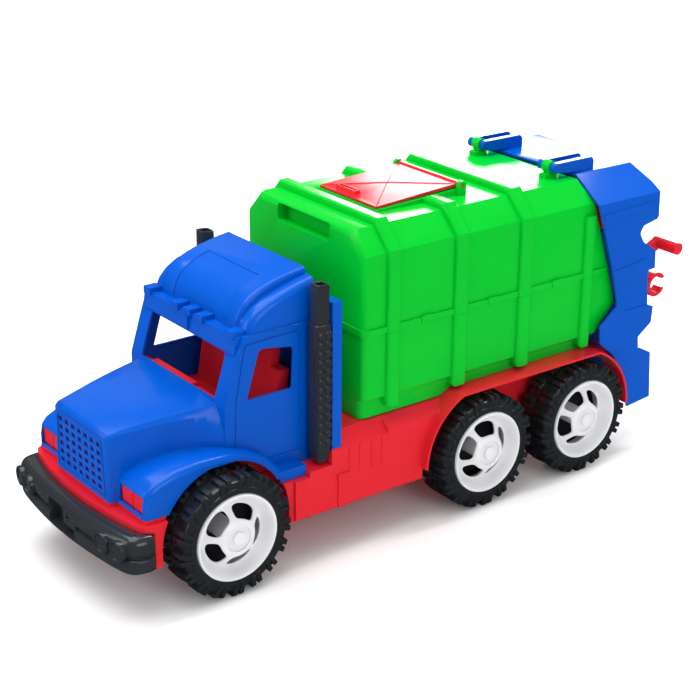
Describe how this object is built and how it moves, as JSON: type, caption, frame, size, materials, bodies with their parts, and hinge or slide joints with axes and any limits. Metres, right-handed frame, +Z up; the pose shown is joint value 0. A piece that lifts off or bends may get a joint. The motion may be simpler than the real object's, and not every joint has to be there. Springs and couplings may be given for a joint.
{
  "type": "toy garbage truck",
  "caption": "Large moulded toy refuse truck with bonneted cab, ribbed body, roof hatch, hinged tailgate with crank and bin lifter, and free-rolling deep-dished wheels.",
  "frame": {"origin": "on the floor, under the middle of the overall box", "axes": "+X to the truck's left, -Y to its front, +Y to its tailgate, +Z up"},
  "size_m": [0.257, 0.7258, 0.3405],
  "materials": {
    "red_plastic": "gloss",
    "blue_plastic": "gloss",
    "green_plastic": "gloss",
    "black_plastic": "satin",
    "white_plastic": "gloss",
    "tyre_black": "satin",
    "axle_steel": "drawn rod"
  },
  "bodies": {
    "truck": {"chassis": "red_plastic", "bumper": "black_plastic", "cab_shell": "blue_plastic", "lamp_panel": "red_plastic", "seats": "red_plastic", "stack_left": "black_plastic", "stack_right": "black_plastic", "body_lower": "green_plastic", "body_upper": "green_plastic", "axle_front": "axle_steel", "axle_mid": "axle_steel", "axle_rear": "axle_steel"},
    "hatch_lid": {"hatch": "red_plastic"},
    "tailgate_frame": {"tailgate": "blue_plastic", "packer_plate": "red_plastic"},
    "lifter_crank": {"crank": "red_plastic", "lifter": "red_plastic"},
    "wheel_front_left": {"tyre_front_left": "tyre_black", "rim_front_left": "white_plastic", "hub_cap_front_left": "white_plastic"},
    "wheel_front_right": {"tyre_front_right": "tyre_black", "rim_front_right": "white_plastic", "hub_cap_front_right": "white_plastic"},
    "wheel_mid_left": {"tyre_mid_left": "tyre_black", "rim_mid_left": "white_plastic", "hub_cap_mid_left": "white_plastic"},
    "wheel_mid_right": {"tyre_mid_right": "tyre_black", "rim_mid_right": "white_plastic", "hub_cap_mid_right": "white_plastic"},
    "wheel_rear_left": {"tyre_rear_left": "tyre_black", "rim_rear_left": "white_plastic", "hub_cap_rear_left": "white_plastic"},
    "wheel_rear_right": {"tyre_rear_right": "tyre_black", "rim_rear_right": "white_plastic", "hub_cap_rear_right": "white_plastic"}
  },
  "joints": [
    {"name": "wheel_front_left_spin", "type": "hinge", "parent": "truck", "child": "wheel_front_left", "pos_m": [0, -0.2435, 0.0625], "axis": [1, 0, 0], "continuous": true},
    {"name": "wheel_front_right_spin", "type": "hinge", "parent": "truck", "child": "wheel_front_right", "pos_m": [0, -0.2435, 0.0625], "axis": [1, 0, 0], "continuous": true},
    {"name": "wheel_mid_left_spin", "type": "hinge", "parent": "truck", "child": "wheel_mid_left", "pos_m": [0, 0.0685, 0.0625], "axis": [1, 0, 0], "continuous": true},
    {"name": "wheel_mid_right_spin", "type": "hinge", "parent": "truck", "child": "wheel_mid_right", "pos_m": [0, 0.0685, 0.0625], "axis": [1, 0, 0], "continuous": true},
    {"name": "wheel_rear_left_spin", "type": "hinge", "parent": "truck", "child": "wheel_rear_left", "pos_m": [0, 0.2086, 0.0625], "axis": [1, 0, 0], "continuous": true},
    {"name": "wheel_rear_right_spin", "type": "hinge", "parent": "truck", "child": "wheel_rear_right", "pos_m": [0, 0.2086, 0.0625], "axis": [1, 0, 0], "continuous": true},
    {"name": "hatch_hinge", "type": "hinge", "parent": "truck", "child": "hatch_lid", "pos_m": [0, 0.082, 0.332], "axis": [-1, 0, 0], "range_deg": [0, 110]},
    {"name": "tailgate_hinge", "type": "hinge", "parent": "truck", "child": "tailgate_frame", "pos_m": [0, 0.2005, 0.334], "axis": [1, 0, 0], "range_deg": [0, 90]},
    {"name": "lifter_hinge", "type": "hinge", "parent": "tailgate_frame", "child": "lifter_crank", "pos_m": [0, 0.307, 0.22], "axis": [1, 0, 0], "range_deg": [-15, 78]}
  ]
}
